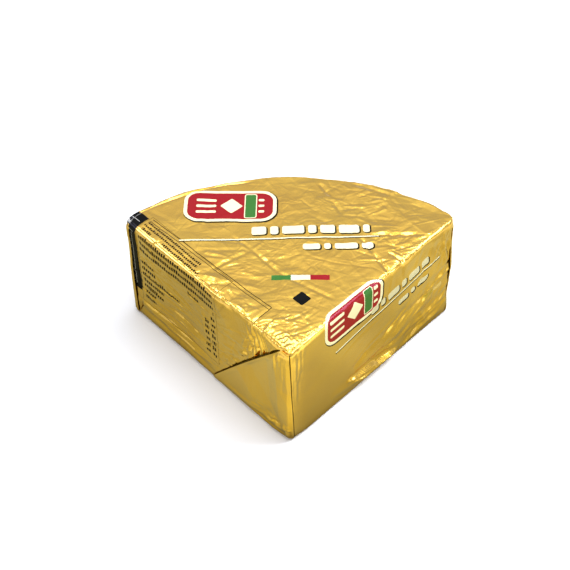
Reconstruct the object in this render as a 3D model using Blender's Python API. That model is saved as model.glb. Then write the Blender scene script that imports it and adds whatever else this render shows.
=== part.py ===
# A wedge of soft blue cheese, shut in one sheet of gold foil: a quarter slice of half a wheel.
# Metres, +Z up. The tip points along -Y, the round heel along +Y, and the flat base lies at z = 0.
# The origin is the middle of the base's bounding box.
# The foil hides the cheese, so the pack is one solid. Its doubled folds stand proud of the walls.
import bmesh
import bpy
from math import asin, atan2, cos, exp, pi, radians, sin, sqrt
from mathutils import Vector

# Driving dimensions
SIDE = 0.155                    # each cut side, from the tip to the heel: the wheel's radius
HEIGHT = 0.080
WEDGE_ANGLE = radians(84.5)
TIP_ROUND = 0.0040              # radii of the upright corners, seen from above
LEFT_ROUND = 0.0045
RIGHT_ROUND = 0.0080
TOP_EDGE = 0.0032               # radii of the rounded edges round the top and the base
BASE_EDGE = 0.0030

# The wrap's folds
FOLD_THICK = 0.0010             # how far a doubled fold stands off the wall
FOLD_ROOT = 0.0015              # how deep it is bedded in the wall, so that the union is sound
FOLD_FOOT = 0.0022              # the folds end this far above the base
FOLD_END = 0.0006               # height left at a fold's thin end
TIP_FOLD_TOP = 0.0745           # the fold by the tip starts under the top edge
TIP_FOLD_REACH = 0.0730         # and runs this far along the left side
TIP_FOLD_LAP = 0.0045           # it starts this far round the tip, on the right side
HEEL_FOLD_TOP = 0.0740
HEEL_FOLD_REACH = 0.0720
HEEL_FOLD_LAP = 0.0030

# The gathers where the flat sheet turns down round the heel
PLEATS = 13
PLEAT_DEPTH = 0.0013
PLEAT_START = 0.85              # share of the height where they die out

# How fine the mesh is
HALF_SIDE_STEPS = 20            # columns from a corner's middle to the middle of the next side
CORNER_CROWDING = 1.45          # above 1, columns crowd towards the corners
EDGE_STEPS = 4                  # rows round each rounded edge
WALL_STEPS = 8                  # rows between them
FOLD_STEPS = 14

GOLD = (0.76, 0.50, 0.12, 1.0)
WELD = 1e-7

HALF_ANGLE = WEDGE_ANGLE / 2
TIP_SETBACK = TIP_ROUND / sin(HALF_ANGLE)

# Creases and dents in the foil on top: ends as distances right of and behind the tip, depth and half width.
# The photographed pack has a crossed crease left of the middle, and two valleys that run out over the right side.
CREASES = (
    ((-0.047, 0.076), (-0.025, 0.086), 0.0007, 0.0040),
    ((-0.039, 0.099), (-0.025, 0.086), 0.0006, 0.0035),
    ((-0.025, 0.086), (0.022, 0.042), 0.0010, 0.0035),
    ((0.008, 0.060), (0.028, 0.041), 0.0008, 0.0035),
    ((0.050, 0.100), (0.062, 0.064), 0.0012, 0.0035),
    ((0.051, 0.095), (0.090, 0.098), 0.0013, 0.0040),
    ((0.020, 0.150), (0.032, 0.117), 0.0009, 0.0045),
    ((0.037, 0.146), (0.068, 0.128), 0.0008, 0.0040),
    ((-0.058, 0.068), (-0.017, 0.050), 0.0007, 0.0050),
    ((-0.024, 0.026), (-0.006, 0.022), 0.0012, 0.0035),
    ((-0.018, 0.014), (-0.004, 0.030), 0.0009, 0.0030),
)
TIP_SLUMP = 0.0016              # the soft tip has sunk a little
TIP_SLUMP_REACH = 0.022


def along(direction, distance):
    """A plan point this far from the sharp tip, at this angle from the wedge's middle line."""
    return Vector((sin(direction), cos(direction))) * distance


def arc_piece(centre, radius, first, last):
    """Part of a circle, turning from the direction first to last, both measured from +Y towards +X."""
    def at(share):
        outward = along(first + (last - first) * share, 1.0)
        return centre + outward * radius, outward
    return abs(last - first) * radius, at


def line_piece(start, end):
    run = end - start
    outward = Vector((run.y, -run.x)).normalized()

    def at(share):
        return start + run * share, outward
    return run.length, at


def heel_corner(radius):
    """Where a corner of this radius sits between a cut side and the heel: its centre's angle and distance."""
    distance = SIDE - radius
    return HALF_ANGLE - asin(radius / distance), distance


def half_sides():
    """The outline, anticlockwise from the tip's middle, as six halves: tip, right side, heel, left side."""
    right_angle, right_distance = heel_corner(RIGHT_ROUND)
    left_angle, left_distance = heel_corner(LEFT_ROUND)
    tip_centre = along(0, TIP_SETBACK)
    right_centre = along(right_angle, right_distance)
    left_centre = along(-left_angle, left_distance)
    right_normal = HALF_ANGLE + pi / 2
    tip_right = tip_centre + along(right_normal, TIP_ROUND)
    tip_left = Vector((-tip_right.x, tip_right.y))
    right_end = right_centre + along(right_normal, RIGHT_ROUND)
    left_end = left_centre + along(-right_normal, LEFT_ROUND)
    right_middle = (tip_right + right_end) / 2
    left_middle = (tip_left + left_end) / 2
    right_turn = (right_normal + right_angle) / 2
    left_turn = -(right_normal + left_angle) / 2
    heel_middle = (right_angle - left_angle) / 2
    nowhere = Vector((0, 0))
    return (
        (arc_piece(tip_centre, TIP_ROUND, pi, right_normal), line_piece(tip_right, right_middle)),
        (line_piece(right_middle, right_end), arc_piece(right_centre, RIGHT_ROUND, right_normal, right_turn)),
        (arc_piece(right_centre, RIGHT_ROUND, right_turn, right_angle),
         arc_piece(nowhere, SIDE, right_angle, heel_middle)),
        (arc_piece(nowhere, SIDE, heel_middle, -left_angle),
         arc_piece(left_centre, LEFT_ROUND, -left_angle, left_turn)),
        (arc_piece(left_centre, LEFT_ROUND, left_turn, -right_normal), line_piece(left_end, left_middle)),
        (line_piece(left_middle, tip_left), arc_piece(tip_centre, TIP_ROUND, -right_normal, -pi)),
    )


def point_on(pieces, distance):
    """The plan point and outward direction this far along a run of pieces."""
    for length, at in pieces[:-1]:
        if distance <= length:
            return at(distance / length)
        distance -= length
    length, at = pieces[-1]
    return at(min(1.0, distance / length))


def outline_stations():
    """Points and outward directions round the whole outline, crowded towards the corners."""
    stations = []
    for number, pieces in enumerate(half_sides()):
        whole = sum(length for length, _ in pieces)
        for step in range(HALF_SIDE_STEPS):
            share = step / HALF_SIDE_STEPS
            leaves_corner = number % 2 == 0
            share = share ** CORNER_CROWDING if leaves_corner else 1 - (1 - share) ** CORNER_CROWDING
            stations.append(point_on(pieces, whole * share))
    return stations


def wall_point(distance, inset, height):
    """A point on the wall, this far round from the tip's middle: to the right if positive, else to the left."""
    halves = half_sides()
    pieces = [piece for half in halves for piece in half]
    total = sum(length for length, _ in pieces)
    point, outward = point_on(pieces, distance % total)
    return (point - outward * inset).to_3d() + Vector((0, 0, height))


def profile():
    """Insets from the outline and heights, from the rim of the flat top down to the rim of the flat base."""
    rows = []
    for step in range(EDGE_STEPS + 1):
        turn = step / EDGE_STEPS * pi / 2
        rows.append((TOP_EDGE * (1 - sin(turn)), HEIGHT - TOP_EDGE * (1 - cos(turn))))
    wall = HEIGHT - TOP_EDGE - BASE_EDGE
    for step in range(1, WALL_STEPS):
        rows.append((0.0, HEIGHT - TOP_EDGE - wall * step / WALL_STEPS))
    for step in range(EDGE_STEPS + 1):
        turn = step / EDGE_STEPS * pi / 2
        rows.append((BASE_EDGE * (1 - cos(turn)), BASE_EDGE * (1 - sin(turn))))
    return rows


def add_cap(mesh, ring, centre):
    """Fills a ring with three patches of quads, one for each corner of the wedge."""
    steps = HALF_SIDE_STEPS
    for corner in (0, 2 * steps, 4 * steps):
        def edge_a(i, c=corner):
            return ring[(c + i) % len(ring)]

        def edge_b(j, c=corner):
            return ring[(c - j) % len(ring)]
        end_a = edge_a(steps)
        end_b = edge_b(steps)
        grid = []
        for i in range(steps + 1):
            s = i / steps
            row = []
            for j in range(steps + 1):
                t = j / steps
                far_a = end_b.lerp(centre, s)
                far_b = end_a.lerp(centre, t)
                blend = edge_a(i) * (1 - t) + far_a * t + edge_b(j) * (1 - s) + far_b * s
                corners = (edge_a(0) * (1 - s) * (1 - t) + end_a * s * (1 - t)
                           + end_b * (1 - s) * t + centre * s * t)
                row.append(mesh.verts.new(blend - corners))
            grid.append(row)
        for i in range(steps):
            for j in range(steps):
                mesh.faces.new((grid[i][j], grid[i + 1][j], grid[i + 1][j + 1], grid[i][j + 1]))


def crease_depth(x, y):
    """How far the top is pressed in at a plan point, from the sharp tip."""
    depth = TIP_SLUMP * exp(-(x * x + y * y) / TIP_SLUMP_REACH ** 2)
    for start, end, deep, half_width in CREASES:
        run = Vector(end) - Vector(start)
        share = (Vector((x, y)) - Vector(start)).dot(run) / run.length_squared
        nearest = Vector(start) + run * min(1.0, max(0.0, share))
        distance = (Vector((x, y)) - nearest).length
        depth += deep * exp(-(distance / half_width) ** 2)
    return depth


def pleat_depth(x, y, z):
    """How far the gathers press in the heel's wall: deepest at the foot, with a sharp valley between folds."""
    angle = atan2(x, y)
    if sqrt(x * x + y * y) < SIDE * 0.96 or abs(angle) > HALF_ANGLE * 0.93:
        return 0.0
    low = max(0.0, 1 - z / (HEIGHT * PLEAT_START))
    wave = abs(sin(PLEATS * pi / 2 * (angle / HALF_ANGLE + 1)))
    return PLEAT_DEPTH * low * (1 - wave)


def shape_foil(mesh):
    """Presses the creases into the top and the gathers into the heel."""
    mesh.normal_update()
    moves = []
    for vert in mesh.verts:
        up = max(0.0, vert.normal.z)
        flat = 1 - abs(vert.normal.z)
        depth = up * crease_depth(vert.co.x, vert.co.y) + flat * pleat_depth(*vert.co)
        moves.append((vert, vert.normal * depth))
    for vert, move in moves:
        vert.co -= move


def wedge_body():
    """The wrapped wedge without its doubled folds."""
    mesh = bmesh.new()
    stations = outline_stations()
    rings = [[(point - outward * inset).to_3d() + Vector((0, 0, height)) for point, outward in stations]
             for inset, height in profile()]
    count = len(stations)
    rows = [[mesh.verts.new(point) for point in ring] for ring in rings]
    for upper, lower in zip(rows, rows[1:]):
        for i in range(count):
            mesh.faces.new((upper[i], lower[i], lower[(i + 1) % count], upper[(i + 1) % count]))
    mesh.faces.new(list(reversed(rows[-1])))
    top_middle = Vector((0, SIDE * 0.60, HEIGHT))
    add_cap(mesh, rings[0], top_middle)
    bmesh.ops.remove_doubles(mesh, verts=mesh.verts, dist=WELD)
    shape_foil(mesh)
    bmesh.ops.recalc_face_normals(mesh, faces=mesh.faces)
    return mesh


def fold_flap(lap, reach, top, way, corner_distance):
    """A doubled triangle of foil, folded flat on the wall: tall at a corner, running out at the foot.
    way is 1 for a fold that runs anticlockwise from its corner, and -1 for the other way."""
    mesh = bmesh.new()
    sections = []
    for step in range(FOLD_STEPS + 1):
        share = step / FOLD_STEPS
        distance = corner_distance + way * (-lap + (reach + lap) * share)
        past_corner = max(0.0, (share * (reach + lap) - lap) / reach)
        height = FOLD_FOOT + FOLD_END + (top - FOLD_FOOT - FOLD_END) * (1 - past_corner)
        corners = ((FOLD_ROOT, FOLD_FOOT), (-FOLD_THICK, FOLD_FOOT), (-FOLD_THICK, height), (FOLD_ROOT, height))
        sections.append([mesh.verts.new(wall_point(distance, inset, z)) for inset, z in corners])
    for first, second in zip(sections, sections[1:]):
        for i in range(4):
            mesh.faces.new((first[i], first[(i + 1) % 4], second[(i + 1) % 4], second[i]))
    mesh.faces.new(sections[0])
    mesh.faces.new(list(reversed(sections[-1])))
    bmesh.ops.recalc_face_normals(mesh, faces=mesh.faces)
    return mesh


def corner_distances():
    """How far round the outline the right and left heel corners' middles are from the tip's middle."""
    lengths = [sum(length for length, _ in half) for half in half_sides()]
    return sum(lengths[:2]), -sum(lengths[4:])


def add_object(name, mesh, collection, material):
    data = bpy.data.meshes.new(name)
    mesh.to_mesh(data)
    mesh.free()
    data.materials.append(material)
    made = bpy.data.objects.new(name, data)
    collection.objects.link(made)
    return made


def gold_foil():
    material = bpy.data.materials.new("gold_foil")
    material.use_nodes = True
    shader = material.node_tree.nodes["Principled BSDF"]
    shader.inputs["Base Color"].default_value = GOLD
    shader.inputs["Metallic"].default_value = 1.0
    shader.inputs["Roughness"].default_value = 0.32
    return material


def join_folds(body, folds):
    """Unites the folds with the body, so that the pack is one closed solid."""
    union = body.modifiers.new("folds", "BOOLEAN")
    union.operation = "UNION"
    union.operand_type = "COLLECTION"
    union.collection = folds
    union.solver = "EXACT"
    bpy.context.view_layer.objects.active = body
    bpy.ops.object.modifier_apply(modifier=union.name)
    for helper in list(folds.objects):
        bpy.data.objects.remove(helper)
    bpy.data.collections.remove(folds)


def centre_base(body):
    """Moves the mesh so that the origin is the middle of its bounding box, at the base."""
    points = [vert.co for vert in body.data.vertices]
    for axis in (0, 1):
        values = [point[axis] for point in points]
        middle = (min(values) + max(values)) / 2
        for vert in body.data.vertices:
            vert.co[axis] -= middle


def main():
    for old in list(bpy.data.objects):
        bpy.data.objects.remove(old)
    scene = bpy.context.scene.collection
    folds = bpy.data.collections.new("folds")
    scene.children.link(folds)
    foil = gold_foil()
    body = add_object("wrapped_wedge", wedge_body(), scene, foil)
    right_corner, left_corner = corner_distances()
    tip_fold = fold_flap(TIP_FOLD_LAP, TIP_FOLD_REACH, TIP_FOLD_TOP, -1, 0.0)
    right_fold = fold_flap(HEEL_FOLD_LAP, HEEL_FOLD_REACH, HEEL_FOLD_TOP, 1, right_corner)
    left_fold = fold_flap(HEEL_FOLD_LAP, HEEL_FOLD_REACH, HEEL_FOLD_TOP, -1, left_corner)
    for name, mesh in (("tip_fold", tip_fold), ("right_fold", right_fold), ("left_fold", left_fold)):
        add_object(name, mesh, folds, foil)
    join_folds(body, folds)
    centre_base(body)
    body.data.shade_smooth()
    body.data.set_sharp_from_angle(angle=radians(35))


main()
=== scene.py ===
# Blue cheese wedge in crinkled gold foil: the wrap, its folded corners and a generic printed label
from math import asin, cos, pi, radians, sin, tan

import bmesh
import bpy
import numpy as np
from mathutils import Matrix, Vector
from mathutils.geometry import delaunay_2d_cdt


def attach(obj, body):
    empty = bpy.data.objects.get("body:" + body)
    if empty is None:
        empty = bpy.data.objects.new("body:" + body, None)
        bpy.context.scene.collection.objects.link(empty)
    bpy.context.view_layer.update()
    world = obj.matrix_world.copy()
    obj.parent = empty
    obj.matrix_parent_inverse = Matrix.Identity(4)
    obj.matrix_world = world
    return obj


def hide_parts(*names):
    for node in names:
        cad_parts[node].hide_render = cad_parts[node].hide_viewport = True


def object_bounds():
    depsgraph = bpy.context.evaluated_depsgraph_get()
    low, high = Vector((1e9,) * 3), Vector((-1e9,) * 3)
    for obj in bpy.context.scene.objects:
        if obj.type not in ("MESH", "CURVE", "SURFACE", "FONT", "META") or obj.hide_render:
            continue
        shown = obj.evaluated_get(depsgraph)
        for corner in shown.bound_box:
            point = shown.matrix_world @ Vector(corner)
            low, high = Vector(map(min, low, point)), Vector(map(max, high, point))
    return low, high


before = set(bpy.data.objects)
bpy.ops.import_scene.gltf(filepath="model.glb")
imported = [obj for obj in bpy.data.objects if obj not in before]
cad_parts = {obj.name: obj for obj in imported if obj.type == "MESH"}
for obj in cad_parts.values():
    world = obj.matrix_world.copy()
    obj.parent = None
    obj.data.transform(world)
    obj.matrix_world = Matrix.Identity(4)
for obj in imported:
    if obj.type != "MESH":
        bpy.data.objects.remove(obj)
cadLow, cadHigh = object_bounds()
print("frame loaded")

mm = 0.001

# The wedge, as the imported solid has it
wedge = {
    "side": 0.155,              # each cut side, from the sharp tip to the heel
    "angle": 84.5,
    "tipRound": 0.0028,         # upright corners, seen from above
    "leftRound": 0.0045,
    "rightRound": 0.0080,
    "topEdge": 0.0022,          # rounded edges round the top and the base
    "baseEdge": 0.0022,
    "tipOffset": 0.0005,        # the sharp tip lies this far right of the box's middle
    "tipTuck": 0.0026,          # the foot of the tip is tucked back by this much
    "tuckTop": 0.014,
    "tuckReach": 0.010,
}
height = cadHigh.z - cadLow.z
tipPoint = np.array([(cadLow.x + cadHigh.x) / 2 + wedge["tipOffset"], cadHigh.y - wedge["side"], cadLow.z])
halfAngle = radians(wedge["angle"]) / 2
topTurn = wedge["topEdge"] * pi / 2             # surface length of the rounded edges
baseTurn = wedge["baseEdge"] * pi / 2
flatWall = height - wedge["topEdge"] - wedge["baseEdge"]
wallRun = topTurn + flatWall + baseTurn         # down the wall, from the flat top to the flat base
tipHalfArc = wedge["tipRound"] * (pi / 2 - halfAngle)
tipCut = wedge["tipRound"] / tan(halfAngle) - tipHalfArc    # what the rounded tip takes off a side's length
leftWay = np.array([-sin(halfAngle), cos(halfAngle)])       # along the left side, seen from above
leftOut = np.array([-cos(halfAngle), -sin(halfAngle)])
rightWay = np.array([sin(halfAngle), cos(halfAngle)])
rightOut = np.array([cos(halfAngle), -sin(halfAngle)])


def heading(angle):             # seen from above: 0 is from the tip to the heel, positive is to the right
    return np.array([sin(angle), cos(angle)])


def arcPiece(centre, radius, first, last):
    length = abs(last - first) * radius
    return {"centre": centre, "radius": radius, "first": first, "last": last, "length": length}


def linePiece(start, end):
    return {"start": start, "end": end, "length": float(np.linalg.norm(end - start))}


# The outline from above, anticlockwise from the tip's middle, measured from the sharp tip
def outlinePieces():
    side = wedge["side"]
    normal = halfAngle + pi / 2
    corners = {}
    for name, sign in (("right", 1), ("left", -1)):
        radius = wedge[name + "Round"]
        turn = halfAngle - asin(radius / (side - radius))
        centre = heading(sign * turn) * (side - radius)
        corners[name] = (centre, radius, sign * turn, centre + heading(sign * normal) * radius)
    rightCentre, rightRadius, rightTurn, rightEnd = corners["right"]
    leftCentre, leftRadius, leftTurn, leftEnd = corners["left"]
    tipCentre = heading(0) * wedge["tipRound"] / sin(halfAngle)
    tipRight = tipCentre + heading(normal) * wedge["tipRound"]
    tipLeft = tipCentre + heading(-normal) * wedge["tipRound"]
    return [
        arcPiece(tipCentre, wedge["tipRound"], pi, normal),
        linePiece(tipRight, rightEnd),
        arcPiece(rightCentre, rightRadius, normal, rightTurn),
        arcPiece(np.zeros(2), side, rightTurn, leftTurn),
        arcPiece(leftCentre, leftRadius, leftTurn, -normal),
        linePiece(leftEnd, tipLeft),
        arcPiece(tipCentre, wedge["tipRound"], -normal, -pi),
    ]


outline = outlinePieces()
outlineLength = sum(piece["length"] for piece in outline)
rightCorner = outline[0]["length"] + outline[1]["length"] + outline[2]["length"] / 2
leftCorner = -(outline[6]["length"] + outline[5]["length"] + outline[4]["length"] / 2)


def outlineAt(along):           # along: metres round from the tip's middle, to the right if positive
    along = np.mod(along, outlineLength)
    points = np.zeros((len(along), 2))
    outward = np.zeros((len(along), 2))
    begin = 0.0
    for piece in outline:
        here = (along >= begin - 1e-12) & (along <= begin + piece["length"] + 1e-12)
        share = ((along[here] - begin) / piece["length"])[:, None]
        if "radius" in piece:
            angle = piece["first"] + (piece["last"] - piece["first"]) * share[:, 0]
            out = np.column_stack((np.sin(angle), np.cos(angle)))
            points[here] = piece["centre"] + out * piece["radius"]
        else:
            run = piece["end"] - piece["start"]
            out = np.array([run[1], -run[0]]) / piece["length"]
            points[here] = piece["start"] + run * share
        outward[here] = out
        begin += piece["length"]
    return points, outward


def aroundTip(along):           # the same place, from half the outline on the left to half on the right
    return np.mod(along + outlineLength / 2, outlineLength) - outlineLength / 2


def profileAt(down):            # down: metres down the wall's surface from the rim of the flat top
    turn = np.clip(down / wedge["topEdge"], 0, pi / 2)
    baseAngle = np.clip((down - topTurn - flatWall) / wedge["baseEdge"], 0, pi / 2)
    inset = wedge["topEdge"] * (1 - np.sin(turn)) + wedge["baseEdge"] * (1 - np.cos(baseAngle))
    z = height - wedge["topEdge"] * (1 - np.cos(turn)) - np.clip(down - topTurn, 0, flatWall)
    z = z - wedge["baseEdge"] * np.sin(baseAngle)
    sideways = np.sin(turn) * np.cos(baseAngle)
    upward = np.cos(turn) - np.sin(baseAngle)
    return inset, z, sideways, upward


def wallPoints(along, down, lift):      # spots on the wall's surface, raised by their lift
    points, outward = outlineAt(along)
    inset, z, sideways, upward = profileAt(down)
    flat = points + outward * (lift * sideways - inset)[:, None]
    nearTip = np.exp(-(aroundTip(along) / wedge["tuckReach"]) ** 2)
    flat[:, 1] += wedge["tipTuck"] * nearTip * np.clip(1 - z / wedge["tuckTop"], 0, 1) ** 2
    return np.column_stack((flat, np.maximum(z + lift * upward, 0.0))) + tipPoint


def downAt(z):                  # where on the wall's surface a height on its flat part is
    return topTurn + (height - wedge["topEdge"]) - z


def unrolled(along, down):      # the wall laid flat round the top, in plan
    points, outward = outlineAt(along)
    return points + outward * (down - wedge["topEdge"])[:, None]


# Relief is drawn on two flat grids: the top in plan, and the walls as round-the-outline by height
reliefPitch = 0.25 * mm


def newRelief(low, high):
    size = [int((b - a) / reliefPitch) + 2 for a, b in zip(low, high)]
    return {"low": np.array(low), "lift": np.zeros((size[1], size[0]))}


def reliefGrid(relief):
    rows, columns = relief["lift"].shape
    x = relief["low"][0] + np.arange(columns) * reliefPitch
    y = relief["low"][1] + np.arange(rows) * reliefPitch
    return np.meshgrid(x, y)


def readRelief(relief, x, y):
    lift = relief["lift"]
    column = np.clip((x - relief["low"][0]) / reliefPitch, 0, lift.shape[1] - 1.001)
    row = np.clip((y - relief["low"][1]) / reliefPitch, 0, lift.shape[0] - 1.001)
    c, r = column.astype(int), row.astype(int)
    a, b = column - c, row - r
    low = lift[r, c] * (1 - a) + lift[r, c + 1] * a
    high = lift[r + 1, c] * (1 - a) + lift[r + 1, c + 1] * a
    return low * (1 - b) + high * b


def addFold(relief, start, end, lift, wide, bow=0.0, lean=0.0):     # a crease: ridge if lift is positive
    start, end = np.array(start), np.array(end)
    run = end - start
    length = float(np.linalg.norm(run))
    reach = wide * (1 + abs(lean)) + abs(bow)
    rows, columns = relief["lift"].shape
    first = np.floor((np.minimum(start, end) - reach - relief["low"]) / reliefPitch).astype(int)
    last = np.ceil((np.maximum(start, end) + reach - relief["low"]) / reliefPitch).astype(int) + 1
    c0, r0 = np.maximum(first, 0)
    c1, r1 = np.minimum(last, (columns, rows))
    if c1 <= c0 or r1 <= r0 or length < reliefPitch:
        return
    x = relief["low"][0] + np.arange(c0, c1) * reliefPitch - start[0]
    y = (relief["low"][1] + np.arange(r0, r1) * reliefPitch - start[1])[:, None]
    share = (x * run[0] + y * run[1]) / length ** 2
    inside = np.clip(share, 0, 1)
    across = (x * run[1] - y * run[0]) / length - bow * 4 * inside * (1 - inside)
    across = np.where(across > 0, across / (1 + lean), across / (1 - lean))
    shape = np.clip(1 - np.abs(across) / wide, 0, 1) * ((share >= 0) & (share <= 1))
    taper = np.clip(4 * inside * (1 - inside) * 1.4, 0, 1)
    relief["lift"][r0:r1, c0:c1] += lift * shape * taper


def facets(relief, spacing, draw):              # flat-sided crumples: heights from -1 to 1 on a random net
    rows, columns = relief["lift"].shape
    wide, tall = columns * reliefPitch, rows * reliefPitch
    columnCount, rowCount = int(wide / spacing) + 3, int(tall / (spacing * 0.866)) + 3
    x, y = np.meshgrid(np.arange(columnCount), np.arange(rowCount))
    x = (x + (y % 2) * 0.5 - 1 + draw.uniform(-0.38, 0.38, x.shape)) * spacing
    y = (y - 1 + draw.uniform(-0.38, 0.38, y.shape)) * spacing * 0.866
    level = draw.uniform(-1, 1, x.size)
    spots = np.column_stack((x.ravel(), y.ravel())) / reliefPitch
    made = delaunay_2d_cdt([Vector(spot) for spot in spots.tolist()], [], [], 0, 1e-9, False)
    net = np.array([list(point) for point in made[0]])
    field = np.zeros((rows, columns))
    for triangle in made[2]:
        a, b, c = net[list(triangle)]
        za, zb, zc = level[list(triangle)]
        c0, r0 = np.maximum(np.floor(np.minimum(np.minimum(a, b), c)).astype(int), 0)
        c1 = min(int(max(a[0], b[0], c[0])) + 2, columns)
        r1 = min(int(max(a[1], b[1], c[1])) + 2, rows)
        area = (b[0] - a[0]) * (c[1] - a[1]) - (c[0] - a[0]) * (b[1] - a[1])
        if c1 <= c0 or r1 <= r0 or abs(area) < 1e-9:
            continue
        px = np.arange(c0, c1) - a[0]
        py = (np.arange(r0, r1) - a[1])[:, None]
        shareB = (px * (c[1] - a[1]) - py * (c[0] - a[0])) / area
        shareC = (py * (b[0] - a[0]) - px * (b[1] - a[1])) / area
        here = (shareB >= -1e-6) & (shareC >= -1e-6) & (shareB + shareC <= 1 + 1e-6)
        window = field[r0:r1, c0:c1]
        window[here] = (za + shareB * (zb - za) + shareC * (zc - za))[here]
    return field


# Each row in millimetres: start, end, lift and half width
def addCreases(relief, rows, spot=lambda x, y: (x, y)):
    for row in rows:
        x, y, endX, endY, lift, wide = np.array(row) * mm
        addFold(relief, spot(x, y), spot(endX, endY), lift, wide)


smallCrease = {"bow": 0.08, "lean": 0.5, "ridges": 0.5}         # shares of their length, width and number


# Many small creases about one spot, which is in metres; directions in degrees, all other sizes in millimetres
def addWrinkles(relief, draw, at, count, spread, way, fan, long, wide, lift, keep=None):
    bow, lean, ridges = smallCrease.values()
    for _ in range(count):
        centre = np.array(at) + draw.normal(0, 1, 2) * spread * mm
        if keep and not keep(centre):
            continue
        angle = radians(way + draw.normal(0, 1) * fan)
        half = np.array([cos(angle), sin(angle)]) * draw.uniform(*long) * mm / 2
        size = draw.uniform(*lift) * mm * (1 if draw.uniform() < ridges else -1)
        halfWide = draw.uniform(*wide) * mm
        addFold(relief, centre - half, centre + half, size, halfWide, draw.normal(0, bow) * half[0],
                draw.uniform(-lean, lean))


def addSmallFolds(relief, draw, spec):          # a piece's own creases and wrinkles
    addCreases(relief, spec["creases"])
    for at, *row in spec["wrinkles"]:
        addWrinkles(relief, draw, np.array(at) * mm, *row)


def softBump(relief, centre, reach):            # 1 at the centre, fading out at the reach
    x, y = reliefGrid(relief)
    return np.exp(-((x - centre[0]) / reach[0]) ** 2 - ((y - centre[1]) / reach[1]) ** 2)


def smooth(low, high, value):   # from 0 at the low value to 1 at the high one
    share = np.clip((value - low) / (high - low), 0, 1)
    return share * share * (3 - 2 * share)


# Creases and crumples in the foil on top, measured right of and behind the sharp tip
topFoil = {
    "draw": 11,
    "facets": ((0.024, 0.00062), (0.010, 0.00024), (0.0045, 0.00007)),      # spacing and lift
    "tipCrumple": {"at": (-0.004, 0.018), "reach": (0.019, 0.018),
                   "facets": ((0.012, 0.00050), (0.0050, 0.00009))},
    "edgeCrumple": {"reach": 0.0065, "facets": ((0.0075, 0.00045),)},
    "tipRings": {"pitch": 0.0031, "lift": 0.00055, "reach": 0.022},     # folds bent round the tip
    "lip": {"inset": 0.0034, "depth": 0.0007, "wide": 0.0013},         # a groove inside the heel's edge
    "slump": {"drop": 0.0018, "reach": 0.024},      # the tip sags
    "shoulders": {"left": (0.0014, 0.0095), "right": (0.0008, 0.0075)},     # how far the cut sides' edges sag
    "creases": (                # in millimetres: start, end, lift and half width
        (-52, 65.5, -22.9, 85.5, -0.4, 2.2), (-36, 98, -22.9, 85.5, -0.4, 2),
        (-24, 86.7, -6, 65.5, -0.55, 2), (-7, 66.5, 9.5, 53.7, -0.45, 2),
        (8, 54.8, 26.5, 43, -0.45, 2.2), (-22.9, 85.5, -16, 93, 0.3, 2),
        (-22.9, 85.5, 1, 60, 0.3, 6), (42.8, 95.5, 50, 82, -0.8, 1.8),
        (49.5, 83, 59, 65.5, -0.9, 2), (42.8, 98, 84, 99, -0.65, 2.2),
        (59, 83, 69, 74, -0.8, 1.8), (17.8, 147.5, 25, 134.5, -0.7, 2.2),
        (25.5, 131, 32.3, 117, -0.6, 2.4), (36.9, 147.7, 65.1, 133.6, -0.5, 2.6),
        (-56, 86.9, -30.7, 75.8, 0.4, 2.6), (-51.9, 64.7, -16.6, 51.4, 0.5, 3),
        (-61, 85, -22.9, 85.5, -0.3, 2.4), (-21, 23.2, -9.1, 26.3, -0.9, 1.8),
        (-9.1, 26.3, -16.1, 15, 0.8, 1.8), (-10.4, 36.2, -21, 24.8, -0.4, 2.2),
    ),
    "wrinkles": (               # spot, count, spread, direction, its spread, lengths, half widths and lifts
        ((0, 95), 260, (48, 36), 0, 60, (12, 40), (1.2, 3.6), (0.03, 0.14)),        # everywhere
        ((0, 90), 700, (50, 38), 10, 50, (4, 18), (0.6, 1.2), (0.03, 0.10)),
        ((-2, 21), 130, (12, 10), 20, 32, (6, 20), (0.8, 1.9), (0.06, 0.22)),       # the crumpled tip
        ((0, 9), 40, (5, 4), 90, 25, (4, 10), (0.9, 1.8), (0.08, 0.26)),
        ((-40, 70), 40, (14, 12), -18, 12, (10, 28), (1.2, 2.8), (0.06, 0.20)),     # beside the small print
        ((68, 88), 45, (12, 13), 10, 22, (8, 26), (1.0, 2.6), (0.08, 0.30)),        # the right edge's notches
        ((50, 130), 70, (22, 10), -20, 35, (6, 20), (1.0, 2.6), (0.07, 0.24)),      # the heel's edge
        ((-38, 45), 60, (13, 13), 130, 30, (4, 14), (0.9, 2.0), (0.10, 0.40),       # along the left edge
         lambda spot: leftAcross(*spot) > -0.012),
    ),
}


def leftAcross(x, y):           # how far out from the left side's line, negative on the top
    return x * leftOut[0] + y * leftOut[1]


def rightAcross(x, y):
    return x * rightOut[0] + y * rightOut[1]


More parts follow.
